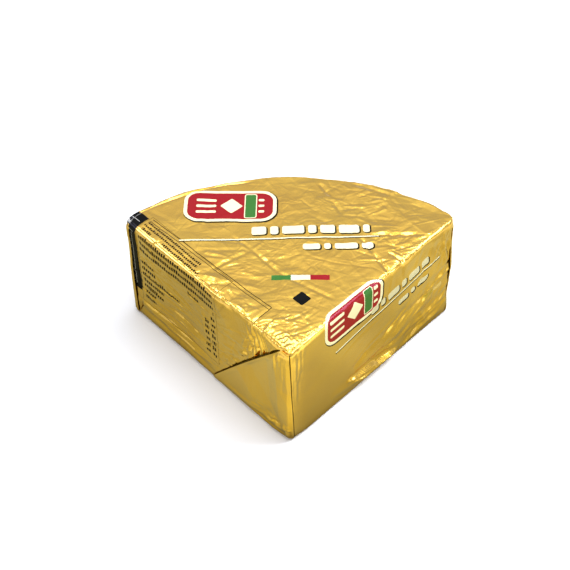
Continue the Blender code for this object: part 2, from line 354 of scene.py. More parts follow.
def drawTopRelief():
    spec = topFoil
    draw = np.random.default_rng(spec["draw"])
    margin = 0.010
    reachX = wedge["side"] * sin(halfAngle) + margin
    relief = newRelief((-reachX, -margin), (reachX, wedge["side"] + margin))
    x, y = reliefGrid(relief)
    lift = relief["lift"]
    for spacing, size in spec["facets"]:
        lift += facets(relief, spacing, draw) * size
    tip = spec["tipCrumple"]
    nearTip = softBump(relief, tip["at"], tip["reach"])
    for spacing, size in tip["facets"]:
        lift += facets(relief, spacing, draw) * size * nearTip
    edge = spec["edgeCrumple"]
    left, right = leftAcross(x, y), rightAcross(x, y)
    far = np.hypot(x, y)
    nearEdge = np.exp(-(left / edge["reach"]) ** 2) * smooth(0.085, 0.045, far)
    nearEdge += 0.6 * np.exp(-(right / edge["reach"]) ** 2) * smooth(0.060, 0.075, far)
    nearEdge += 0.7 * np.exp(-((far - wedge["side"]) / 0.008) ** 2) * smooth(0.0, 0.02, x)
    for spacing, size in edge["facets"]:
        lift += facets(relief, spacing, draw) * size * np.clip(nearEdge, 0, 1)
    ring = spec["tipRings"]
    bent = far + 0.0012 * np.sin(np.arctan2(x, y) * 7) + 0.0006 * np.sin(np.arctan2(x, y) * 17)
    rings = np.abs(np.mod(bent / ring["pitch"], 1) - 0.5) * 2
    rings *= smooth(0.003, 0.007, far) * smooth(ring["reach"], ring["reach"] * 0.6, far)
    lift += ring["lift"] * rings * smooth(0.006, -0.004, x)
    lip = spec["lip"]
    away = np.abs(far - (wedge["side"] - lip["inset"]) + 0.0006 * np.sin(x * 160))
    groove = np.clip(1 - away / lip["wide"], 0, 1)
    lift -= lip["depth"] * groove * smooth(-0.020, -0.036, x)
    lift -= spec["slump"]["drop"] * np.exp(-(far / spec["slump"]["reach"]) ** 2)
    for side, across in (("left", left), ("right", right)):
        sag, reach = spec["shoulders"][side]
        lift -= sag * np.clip(1 + across / reach, 0, 1) ** 2
    addSmallFolds(relief, draw, spec)
    return relief


# Creases in the foil on the walls
wallFoil = {
    "draw": 23,
    "facets": ((0.026, 0.00090), (0.011, 0.00022), (0.005, 0.00006)),
    "gathers": {"low": 0.014, "high": 0.041, "pitch": 0.0040, "depth": 0.0017, "lean": 0.30},
    "slit": 0.0006,             # how deep the foil dives behind the folds' open edges
    "pleats": {"count": 13, "depth": 0.0014, "top": 0.068},     # round the heel's foot
    "calm": {"at": 0.030, "reach": 0.030, "share": 0.75},       # the right wall is smooth by the tip
    "under": 0.0003,            # the wall lies this far back under the folds
    "creases": {                # by wall, in millimetres: start, end, lift and half width
        "left": (               # the first six along the foot
            (72, 12, 152, 13.5, 1.25, 3), (76, 17.5, 140, 19, -0.6, 2.2), (70, 6.5, 146, 8, -0.9, 2.8),
            (90, 16, 150, 15, 0.6, 1.8), (72, 9.5, 110, 10, -0.45, 1.6), (143, 18, 149, 2, -0.9, 2),
            (45, 38, 64, 30, -0.6, 2.6), (50, 42, 62, 39.5, 0.4, 2), (52, 30, 64, 22, 0.55, 2.6),
            (38, 48, 48, 43, 0.5, 2.2), (76, 33, 122, 31, -0.5, 2), (80, 40, 126, 48, 0.45, 2.2),
            (78, 26, 118, 25, 0.5, 2.2), (90, 48, 120, 54, -0.45, 2), (141, 78, 144, 20, -0.7, 1.8),
        ),
        "tip": (                # the seam beside it
            (4, 77, 5.2, 30, 0.35, 1.8),
            (7.5, 77.5, 8.5, 56, 0.3, 1.6),
        ),
        "right": (              # folds low on it first, then its far corner
            (50, 13.4, 79, 9.4, 2.6, 2.1), (55, 9, 101, 5.8, 3.1, 2.4), (68, 13.5, 94, 10.5, -0.7, 2.4),
            (56, 20.5, 70, 27.5, -0.8, 3.4), (66, 26.5, 128, 33.5, -0.6, 3.6), (58, 18, 108, 24, 0.8, 9),
            (58, 15, 104, 15, -1, 2.6), (98, 14.5, 124, 22, -1.1, 2.6), (86, 19, 138, 30, 0.8, 5),
            (112, 12, 148, 19.5, 1.2, 3), (104, 11, 146, 15, -0.9, 2.2), (100, 4.5, 144, 8, 1.2, 2.8),
            (108, 39, 147, 44, -0.6, 4), (120, 25, 128, 7, 0.6, 3), (144.5, 68, 149.5, 44, -1.9, 2.4),
            (140, 70, 145, 46, 1.1, 3.4), (132, 74, 144, 56, -0.7, 3.4), (36, 12, 70, 6, 0.6, 4.2),
        ),
    },
    "wrinkles": (               # wall, then as on the top
        # above the fold by the tip
        ("left", (33, 56), 26, (8, 8), 76, 10, (12, 30), (1, 2.2), (0.25, 0.65)),
        ("left", (55, 30), 22, (9, 7), 52, 12, (8, 24), (1, 2.2), (0.16, 0.45)),
        # fine lines along the printed panel
        ("left", (104, 32), 110, (24, 14), 1, 3, (12, 50), (0.6, 1.4), (0.1, 0.36)),
        ("left", (90, 60), 50, (34, 12), 20, 30, (8, 30), (0.8, 2.2), (0.08, 0.28)),
        # long and slanting
        ("right", (114, 24), 60, (22, 12), 22, 10, (12, 45), (1.2, 3.6), (0.1, 0.45),
         lambda spot: spot[0] > 0.100 or spot[1] > 0.020),
        ("right", (80, 12), 14, (14, 7), -4, 12, (10, 30), (1, 2.6), (0.03, 0.1)),
        ("right", (140, 50), 24, (8, 18), 60, 22, (8, 24), (1.2, 2.8), (0.08, 0.3)),
        # upright lines at the tip
        ("right", (6, 60), 12, (3, 12), 84, 6, (10, 24), (1, 2), (0.1, 0.25)),
        ("heelRight", (50, 40), 120, (50, 22), 80, 30, (12, 40), (1.6, 4), (0.1, 0.4)),
        ("heelLeft", (50, 40), 120, (50, 22), 100, 30, (12, 40), (1.6, 4), (0.1, 0.4)),
    ),
}


# From a place on one wall to metres round from the tip's middle, left negative, and height
wallPlaces = {
    "left": lambda along, z: (-(along - tipCut), z),            # along the side from the sharp tip
    "right": lambda along, z: (along - tipCut, z),
    "tip": lambda along, z: (along, z),
    "heelLeft": lambda back, z: (back - outlineLength / 2, z),  # back from the heel's middle
    "heelRight": lambda back, z: (outlineLength / 2 - back, z),
}


def drawWallRelief():
    spec = wallFoil
    draw = np.random.default_rng(spec["draw"])
    half = outlineLength / 2
    relief = newRelief((-half, -0.004), (half, height + 0.004))
    x, z = reliefGrid(relief)
    lift = relief["lift"]
    still = spec["calm"]
    calm = 1 - still["share"] * np.exp(-((x - still["at"]) / still["reach"]) ** 2)
    for spacing, size in spec["facets"]:
        lift += facets(relief, spacing, draw) * size * calm
    # pleats where the sheet turns down round the heel
    share = (np.abs(x) - rightCorner) / (half - rightCorner)
    onHeel = smooth(0.0, 0.10, share)
    pleats = spec["pleats"]
    wave = np.abs(np.sin(pleats["count"] * pi * np.clip(share, 0, 1) / 2 + 0.35 * np.sin(5 * share)))
    lift -= pleats["depth"] * np.clip(1 - z / pleats["top"], 0, 1) * (1 - wave) * onHeel
    # gathers that run down into the fold by the tip
    gather = spec["gathers"]
    along = -x + tipCut
    crest = crestHeight(folds["tipFold"], along)
    run = np.clip((height - z) / np.maximum(height - crest, 0.004), 0, 1.3)
    place = along - gather["lean"] * (z - 0.060)
    phase = place / gather["pitch"]
    phase = phase + 0.30 * np.sin(phase * 1.3) + 0.12 * np.sin(phase * 2.9 + z * 160)
    here = smooth(gather["low"], gather["low"] + 0.010, place)
    here = here * smooth(gather["high"], gather["high"] - 0.014, place) * smooth(0.0, 0.5, run)
    here = here * (0.4 + 0.6 * smooth(0.0, 0.008, z - crest))
    lift -= gather["depth"] * np.abs(np.cos(pi * phase)) ** 4 * here
    for wall, rows in spec["creases"].items():
        addCreases(relief, rows, wallPlaces[wall])
    for wall, at, *row in spec["wrinkles"]:
        addWrinkles(relief, draw, wallPlaces[wall](*np.array(at) * mm), *row)
    for fold in folds.values():                               # the wall lies flat under the folds
        along = aroundTip(x - fold["corner"]) * fold["way"]
        below = crestHeight(fold, along) - z
        lap = lapAt(fold, z)
        beside = smooth(-lap - 0.0008, -lap + 0.0008, along) * (along < fold["reach"])
        under = smooth(-0.0010, 0.0030, below) * beside
        lift *= 1 - under
        lift -= spec["under"] * under
        lift -= spec["slit"] * np.exp(-((below - 0.0002) / 0.0013) ** 2) * beside * smooth(0.0, 0.010, along)
    lift *= smooth(0.0, 0.006, half - np.abs(x))              # the two ends meet behind the heel
    lift *= smooth(0.0, 0.004, z) * 0.8 + 0.2
    return relief


# Doubled folds that lie on the walls, each tall at its corner and running out at the foot
folds = {
    "tipFold": {"corner": 0.0, "way": -1, "lap": (0.0020, -0.0003), "reach": 0.0735,
                "apex": 0.0842, "standOff": 0.00125, "draw": 31},
    "rightHeelFold": {"corner": rightCorner, "way": 1, "lap": (0.0050, 0.0040), "reach": 0.0720,
                      "apex": 0.0780, "standOff": 0.0010, "draw": 32},
    "leftHeelFold": {"corner": leftCorner, "way": -1, "lap": (0.0050, 0.0040), "reach": 0.0720,
                     "apex": 0.0775, "standOff": 0.0010, "draw": 33},
}
foldSheet = {
    "top": 0.0772,              # no fold reaches higher
    "bow": 0.0015,              # how far the slanting open edge bends up
    "foot": -0.0002,            # lowest row, on the unrolled wall
    "rest": 0.00050,            # how far the sheet lies off the wall away from its open edge
    "thick": 0.00028,
    "hem": 0.00012,             # the open edge is rounded by this much
    "mouth": 0.0045,            # it lifts over this distance towards its open edge
    "columns": 170,
    "rows": 110,
    "facets": ((0.024, 0.00085), (0.009, 0.00010)),
    "creases": (                # from the fold's corner and up, as on the walls
        (1.1, 76, 0, 5, -0.28, 0.9),            # the hem at the seam
        (64, 4, 5, 8.5, 0.7, 2.4),              # along the foot
        (45, 2.6, 3, 3.4, -0.5, 2),
        (6, 14, 1, 2, 0.6, 2),
        (11.5, 79, 8.5, 12, 1.25, 8.4),         # the strip by the corner
    ),
    "wrinkles": (               # as on the top
        ((22, 30), 16, (12, 14), 100, 20, (10, 28), (1.6, 3.6), (0.04, 0.12)),
        ((6.5, 66), 16, (3, 7), 92, 4, (8, 24), (0.8, 1.6), (0.12, 0.42)),
        ((15, 10.5), 14, (6, 2), -14, 10, (5, 14), (0.9, 1.6), (0.4, 0.9)),
    ),
}


def crestHeight(fold, along):   # the open edge's height at a distance from the fold's corner
    share = np.clip(along / fold["reach"], 0, 1)
    crest = fold["apex"] * (1 - share) + foldSheet["bow"] * 4 * share * (1 - share)
    return np.minimum(crest, foldSheet["top"])


def lapAt(fold, z):             # how far the fold reaches round the corner: low down and high up
    return fold["lap"][0] + (fold["lap"][1] - fold["lap"][0]) * np.clip(z / height, 0, 1)


topRelief = drawTopRelief()
wallRelief = drawWallRelief()
print("relief drawn")


def wallLift(along, down):      # the wall's relief, blended into the top's over the rim
    along = aroundTip(along)
    over = unrolled(along, down)
    top = readRelief(topRelief, over[:, 0], over[:, 1])
    side = readRelief(wallRelief, along, downAt(0.0) - down)
    share = smooth(topTurn * 0.4, topTurn * 1.8, down)
    foot = smooth(0.0, baseTurn, wallRun - down)
    side = side * foot
    return top * (1 - share) + side * share


# The wrap's outer skin
skin = {
    "top": 0.00048,             # mesh spacing, by place
    "walls": 0.00062,
    "heel": 0.00140,
    "rim": 0.00052,
    "base": 0.0040,
    "draw": 5,
}


def scatter(low, high, spacing, draw):          # a shaken triangular grid
    columns = int((high[0] - low[0]) / spacing) + 2
    rows = int((high[1] - low[1]) / (spacing * 0.866)) + 2
    x, y = np.meshgrid(np.arange(columns), np.arange(rows))
    x = low[0] + (x + (y % 2) * 0.5 + draw.uniform(-0.2, 0.2, x.shape)) * spacing
    y = low[1] + (y + draw.uniform(-0.2, 0.2, y.shape)) * spacing * 0.866
    return np.column_stack((x.ravel(), y.ravel()))


def triangles(points, edgeCount):               # of plan points, inside the loop of the first of them
    spots = [Vector(point) for point in points.tolist()]
    made = delaunay_2d_cdt(spots, [], [list(range(edgeCount))], 1, 1e-9, True)
    origin = [known[0] if known else -1 for known in made[3]]
    return [[origin[corner] for corner in face] for face in made[2]]


def rimStations():
    heelSpacing = skin["heel"] * 0.8
    frontCount = int(rightCorner / skin["rim"])
    right = np.linspace(0, rightCorner, frontCount, endpoint=False)
    heelEnd = outlineLength + leftCorner
    heel = np.linspace(rightCorner, heelEnd, int((heelEnd - rightCorner) / heelSpacing), endpoint=False)
    left = np.linspace(heelEnd, outlineLength, frontCount, endpoint=False)
    return np.concatenate((right, heel, left))


def clearOf(points, others, gap):               # the points that lie further than the gap from all others
    keep = np.ones(len(points), bool)
    for begin in range(0, len(others), 40):
        part = others[begin:begin + 40]
        near = np.min(np.hypot(points[:, None, 0] - part[:, 0], points[:, None, 1] - part[:, 1]), axis=1)
        keep &= near > gap
    return points[keep]


def plate(along, edge, spacing, inset, gap, draw):      # a flat sheet in plan, inside the outline by its edge
    ring, outward = outlineAt(along)
    ring = ring - outward * edge
    reachX = wedge["side"] * sin(halfAngle)
    inner = scatter((-reachX, 0), (reachX, wedge["side"]), spacing, draw)
    x, y = inner[:, 0], inner[:, 1]
    inside = (leftAcross(x, y) < -inset) & (rightAcross(x, y) < -inset)
    inside &= np.hypot(x, y) < wedge["side"] - inset
    plan = np.concatenate((ring, clearOf(inner[inside], ring, gap)))
    return plan, triangles(plan, len(ring))


def buildSkin():
    draw = np.random.default_rng(skin["draw"])
    stations = rimStations()
    zeros = np.zeros(len(stations))
    inset = wedge["topEdge"] + 0.0003
    plan, topFaces = plate(stations, wedge["topEdge"], skin["top"], inset, skin["rim"] * 0.55, draw)
    top = np.column_stack((plan, height + readRelief(topRelief, plan[:, 0], plan[:, 1]))) + tipPoint
    top[:len(stations)] = wallPoints(stations, zeros, wallLift(stations, zeros))
    # the walls, as distance round by distance down
    half = outlineLength / 2
    gap = skin["rim"] * 0.5
    grids = [scatter((-rightCorner - 0.002, gap), (rightCorner + 0.002, wallRun - gap), skin["walls"], draw)]
    for low, high in ((-half, leftCorner - 0.002), (rightCorner + 0.002, half)):
        grids.append(scatter((low, gap), (high, wallRun - gap), skin["heel"], draw))
    grids[0] = grids[0][(grids[0][:, 0] > leftCorner - 0.002) & (grids[0][:, 0] < rightCorner + 0.002)]
    flat = np.concatenate(grids)
    flat = flat[(np.abs(flat[:, 0]) < half - gap) & (flat[:, 1] > gap) & (flat[:, 1] < wallRun - gap)]
    turned = np.where(stations > half, stations - outlineLength, stations)
    cut = np.argsort(turned)
    edgeAlong = np.concatenate(([-half], turned[cut], [half]))
    seamDown = np.linspace(0, wallRun, int(wallRun / skin["heel"]))[1:-1]
    border = [np.column_stack((edgeAlong, np.zeros(len(edgeAlong)))),
              np.column_stack((np.full(len(seamDown), half), seamDown)),
              np.column_stack((edgeAlong[::-1], np.full(len(edgeAlong), wallRun))),
              np.column_stack((np.full(len(seamDown), -half), seamDown[::-1]))]
    border = np.concatenate(border)
    wall = np.concatenate((border, flat))
    wallFaces = triangles(wall, len(border))
    walls = wallPoints(wall[:, 0], wall[:, 1], wallLift(wall[:, 0], wall[:, 1]))
    # the base, a little crinkled
    foot = edgeAlong[:-1]
    inset = wedge["baseEdge"] + 0.001
    underPlan, baseFaces = plate(foot, wedge["baseEdge"], skin["base"], inset, 0.0015, draw)
    rise = draw.uniform(0, 0.0004, len(underPlan))
    rise[:len(foot)] = 0
    base = np.column_stack((underPlan, rise)) + tipPoint
    base[:len(foot)] = wallPoints(foot, np.full(len(foot), wallRun), np.zeros(len(foot)))
    return (top, plan, topFaces), (walls, wall, wallFaces), (base, underPlan, baseFaces)


def newPiece(name, points, faces):
    data = bpy.data.meshes.new(name)
    data.from_pydata([tuple(point) for point in points], [], faces)
    made = bpy.data.objects.new(name, data)
    bpy.context.scene.collection.objects.link(made)
    return made


def dress(piece, material):
    piece.data.materials.append(material)
    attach(piece, "root")


def drawFoldRelief(fold):
    draw = np.random.default_rng(fold["draw"])
    relief = newRelief((-0.008, -0.004), (fold["reach"] + 0.004, height))
    for spacing, size in foldSheet["facets"]:
        relief["lift"] += facets(relief, spacing, draw) * size
    addSmallFolds(relief, draw, foldSheet)
    return relief


def buildFold(name, fold):
    spec = foldSheet
    columns, rows = spec["columns"], spec["rows"]
    relief = drawFoldRelief(fold)
    across = np.repeat(np.linspace(0, 1, columns) ** 1.1, rows)
    upShare = np.tile(1 - (1 - np.linspace(0, 1, rows)) ** 1.35, columns)
    crest = crestHeight(fold, fold["reach"] * across)
    lap = lapAt(fold, crest * upShare)
    along = -lap + (fold["reach"] + lap) * across
    crest = crestHeight(fold, along)
    tall = np.maximum(crest - spec["foot"], 0.0004)
    z = spec["foot"] + tall * upShare
    below = tall * (1 - upShare)
    opening = np.exp(-(below / spec["mouth"]) ** 2) * smooth(0.003, 0.014, along)
    ending = smooth(0.0, 0.006, fold["reach"] - along)
    # it runs into the wrap by the corner's top
    sunk = smooth(0.0730, 0.0765, z) * smooth(0.012, 0.003, along)
    front = spec["rest"] * (1 - 1.8 * sunk) + (fold["standOff"] - spec["rest"]) * opening
    front = front + readRelief(relief, along, z) * smooth(0.0, 0.004, below) * smooth(0.0, 0.004, z)
    front = front * (0.25 + 0.75 * ending)
    front = front - spec["hem"] * np.clip(1 - below / 0.0004, 0, 1)
    back = front - spec["thick"]
    around = fold["corner"] + fold["way"] * along
    down = downAt(z)
    points = np.concatenate((wallPoints(around, down, front), wallPoints(around, down, back)))

    def spot(column, row, side):
        return side * columns * rows + column * rows + row

    def quad(*corners):
        faces.append([spot(*corner) for corner in corners])

    faces = []
    for side in (0, 1):
        for column in range(columns - 1):
            for row in range(rows - 1):
                quad((column, row, side), (column + 1, row, side),
                     (column + 1, row + 1, side), (column, row + 1, side))
    for column in range(columns - 1):
        for row in (0, rows - 1):
            quad((column, row, 0), (column + 1, row, 0), (column + 1, row, 1), (column, row, 1))
    for row in range(rows - 1):
        for column in (0, columns - 1):
            quad((column, row, 0), (column, row + 1, 0), (column, row + 1, 1), (column, row, 1))
    piece = newPiece(name, points, faces)
    mesh = bmesh.new()
    mesh.from_mesh(piece.data)
    bmesh.ops.recalc_face_normals(mesh, faces=mesh.faces)
    mesh.to_mesh(piece.data)
    mesh.free()
    piece.data.shade_smooth()
    dress(piece, plain)
    return piece


# The top and the rest, with the shading of one sheet across their shared edge
def splitSkin(whole, topCount):
    mesh = bmesh.new()
    mesh.from_mesh(whole.data)
    for face in mesh.faces:
        face.material_index = 0 if face.index < topCount else 1
    bmesh.ops.remove_doubles(mesh, verts=mesh.verts, dist=0.000002)
    bmesh.ops.recalc_face_normals(mesh, faces=mesh.faces)
    mesh.normal_update()
    pieces = []
    for name, keep in (("wrapTop", True), ("wrapWalls", False)):
        part = mesh.copy()
        part.normal_update()
        others = [face for face in part.faces if (face.material_index == 0) != keep]
        bmesh.ops.delete(part, geom=others, context="FACES")
        normals = [tuple(vertex.normal) for vertex in part.verts]
        for face in part.faces:
            face.material_index = 0
        data = bpy.data.meshes.new(name)
        part.to_mesh(data)
        part.free()
        data.shade_smooth()
        data.normals_split_custom_set_from_vertices(normals)
        piece = bpy.data.objects.new(name, data)
        bpy.context.scene.collection.objects.link(piece)
        pieces.append(piece)
    mesh.free()
    bpy.data.objects.remove(whole)
    return pieces


# Two sets of print coordinates: the top in plan, and the walls with what laps over
def sheetCoordinates(parts):
    (top, plan, topFaces), (walls, wall, wallFaces), (base, underPlan, baseFaces) = parts
    away = np.array([-1.0, -1.0])
    left = np.column_stack((-(plan @ leftWay - tipCut), downAt(0) - (plan @ leftOut + wedge["topEdge"])))
    right = np.column_stack((plan @ rightWay - tipCut, downAt(0) - (plan @ rightOut + wedge["topEdge"])))
    planCorners, wallCorners = [], []
    for face in topFaces:
        nearest = left if plan[face, 0].mean() < 0 else right
        planCorners.append(plan[face])
        wallCorners.append(nearest[face])
    for face in wallFaces:
        spot = wall[face]
        planCorners.append(np.tile(away, (len(face), 1)))
        wallCorners.append(np.column_stack((spot[:, 0], downAt(0) - spot[:, 1])))
    for face in baseFaces:
        planCorners.append(np.tile(away, (len(face), 1)))
        wallCorners.append(np.tile(away, (len(face), 1)))
    return np.concatenate(planCorners), np.concatenate(wallCorners)


# Materials
foil = {
    "gold": (0.800, 0.480, 0.020),
    "deepGold": (0.745, 0.430, 0.012),
    "rough": 0.22,
    "roughSpread": 0.03,
    "grain": 0.000003,
    "coat": 1.0,
    "coatIndex": 1.78,
    "coatRough": 0.12,
}
inkAndShade = {
    "cream": (0.80, 0.75, 0.50),
    "red": (0.270, 0.004, 0.009),
    "green": (0.035, 0.150, 0.025),
    "black": (0.003, 0.003, 0.003),
    "brown": (0.020, 0.013, 0.004),
    "white": (0.70, 0.70, 0.68),
    # painted shade, laid in the slit behind the fold by the tip and along the seam
    "shade": (0.045, 0.022, 0.003),
}
inkAndShadeGloss = {"cream": 0.5, "red": 0.3, "green": 0.3, "black": 0.12, "brown": 0.1, "white": 0.3, "shade": 0.1}


def nodeTools(tree):
    def place(kind, sockets=None, **settings):
        node = tree.nodes.new(kind)
        for name, value in settings.items():
            setattr(node, name, value)
        for socket, value in (sockets or {}).items():
            if isinstance(value, bpy.types.NodeSocket):
                tree.links.new(value, node.inputs[socket])
            else:
                node.inputs[socket].default_value = value
        return node

    def calc(operation, *terms):
        return place("ShaderNodeMath", dict(enumerate(terms)), operation=operation).outputs[0]

    def times(one, other):
        return calc("MULTIPLY", one, other)

    def vector(operation, *terms):
        return place("ShaderNodeVectorMath", dict(enumerate(terms)), operation=operation)

    def noise(where, scale, detail):
        return place("ShaderNodeTexNoise", {"Vector": where, "Scale": scale, "Detail": detail}).outputs["Fac"]

    def remap(value, low, high, toLow=0.0, toHigh=1.0):
        return place("ShaderNodeMapRange", {"Value": value, "From Min": low, "From Max": high,
                                            "To Min": toLow, "To Max": toHigh}).outputs[0]

    def blend(share, low, high):        # of two colours
        return place("ShaderNodeMix", {0: share, 6: low, 7: high}, data_type="RGBA").outputs[2]
    return place, calc, times, vector, noise, remap, blend


def foilMaterial(name):
    material = bpy.data.materials.new(name)
    material.use_nodes = True
    tree = material.node_tree
    tools = nodeTools(tree)
    place, *_, noise, remap, blend = tools
    shader = tree.nodes["Principled BSDF"]
    where = place("ShaderNodeTexCoord").outputs["Object"]
    tone = remap(noise(where, 35.0, 4.0), 0.35, 0.65)
    gold = blend(tone, (*foil["gold"], 1), (*foil["deepGold"], 1))
    spread = foil["roughSpread"] / 2
    rough = remap(noise(where, 160.0, 3.0), 0.3, 0.7, foil["rough"] - spread, foil["rough"] + spread)
    grain = noise(where, 700.0, 2.0)
    bump = place("ShaderNodeBump", {"Strength": 1.0, "Distance": foil["grain"], "Height": grain}).outputs[0]
    tree.links.new(bump, shader.inputs["Normal"])
    for socket, value in {"Metallic": 1.0, "Specular IOR Level": 0.0, "Coat Weight": foil["coat"],
                          "Coat IOR": foil["coatIndex"], "Coat Roughness": foil["coatRough"]}.items():
        shader.inputs[socket].default_value = value
    return material, shader, gold, rough, tools


def plainFoil():
    material, shader, gold, rough, _ = foilMaterial("plainGoldFoil")
    tree = material.node_tree
    tree.links.new(gold, shader.inputs["Base Color"])
    tree.links.new(rough, shader.inputs["Roughness"])
    return material


# The print: generic fields of colour in place of the words, in metres
label = {"size": (0.058, 0.029), "round": 0.010, "border": 0.0022}
stripe = {"at": (0.0062, 0.0616), "size": (0.0345, 0.0042)}
textRows = {"wall": (0.0052, 0.0021, 0.0135), "top": (0.0029, 0.0017, 0.0115)}  # row, letter and word
# painted shade in the slit behind the fold by the tip: thickest about its middle, thinner further off,
# uneven, blurred at its edge
slitShade = {"middle": 0.036, "near": 0.010, "far": 0.020, "thick": 0.0016, "thin": 0.0007, "uneven": 0.0022,
           "blur": 0.0006, "cover": 0.92}


def printTools(tools):
    place, calc, times, vector, *_ = tools

    def box(spots, centre, size, turn=0.0, rounding=0.0):       # distance outside a rounded box
        local = vector("SUBTRACT", spots, (*centre, 0)).outputs[0]
        if turn:
            local = place("ShaderNodeVectorRotate", {"Vector": local, "Angle": -radians(turn)},
                          rotation_type="Z_AXIS").outputs[0]
        reach = (size[0] / 2 - rounding, size[1] / 2 - rounding, 0)
        corner = vector("SUBTRACT", vector("ABSOLUTE", local).outputs[0], reach).outputs[0]
        outside = vector("LENGTH", vector("MAXIMUM", corner, (0, 0, 0)).outputs[0]).outputs["Value"]
        return calc("SUBTRACT", outside, rounding)

    def within(distance, limit=1e-6):
        return calc("LESS_THAN", distance, limit)

    def either(masks):
        whole = masks[0]
        for mask in masks[1:]:
            whole = calc("MAXIMUM", whole, mask)
        return whole

    def lines(spots, size):     # rows of small strokes of uneven length and height
        rowSize, letterSize, wordSize = size
        split = place("ShaderNodeSeparateXYZ", {0: spots})
        rowPlace = calc("DIVIDE", split.outputs["Y"], rowSize)
        row = calc("FLOOR", rowPlace)
        inRow = calc("FRACT", rowPlace)
        shift = times(row, 0.37)
        letterPlace = calc("ADD", calc("DIVIDE", split.outputs["X"], letterSize), shift)
        wordPlace = calc("ADD", calc("DIVIDE", split.outputs["X"], wordSize), shift)
        letter = place("ShaderNodeCombineXYZ", {0: calc("FLOOR", letterPlace), 1: row}).outputs[0]
        word = place("ShaderNodeCombineXYZ", {0: calc("FLOOR", wordPlace), 1: row}).outputs[0]
        letterDraw = place("ShaderNodeTexWhiteNoise", {"Vector": letter}, noise_dimensions="2D")
        wordDraw = place("ShaderNodeTexWhiteNoise", {"Vector": word}, noise_dimensions="2D").outputs["Value"]
        tall = calc("MULTIPLY_ADD", letterDraw.outputs["Value"], 0.24, 0.58)
        strokes = calc("LESS_THAN", calc("FRACT", letterPlace), 0.76)
        strokes = times(strokes, calc("GREATER_THAN", wordDraw, 0.09))
        strokes = times(strokes, calc("GREATER_THAN", inRow, 0.20))
        return times(strokes, calc("LESS_THAN", inRow, tall))
    return box, within, either, lines
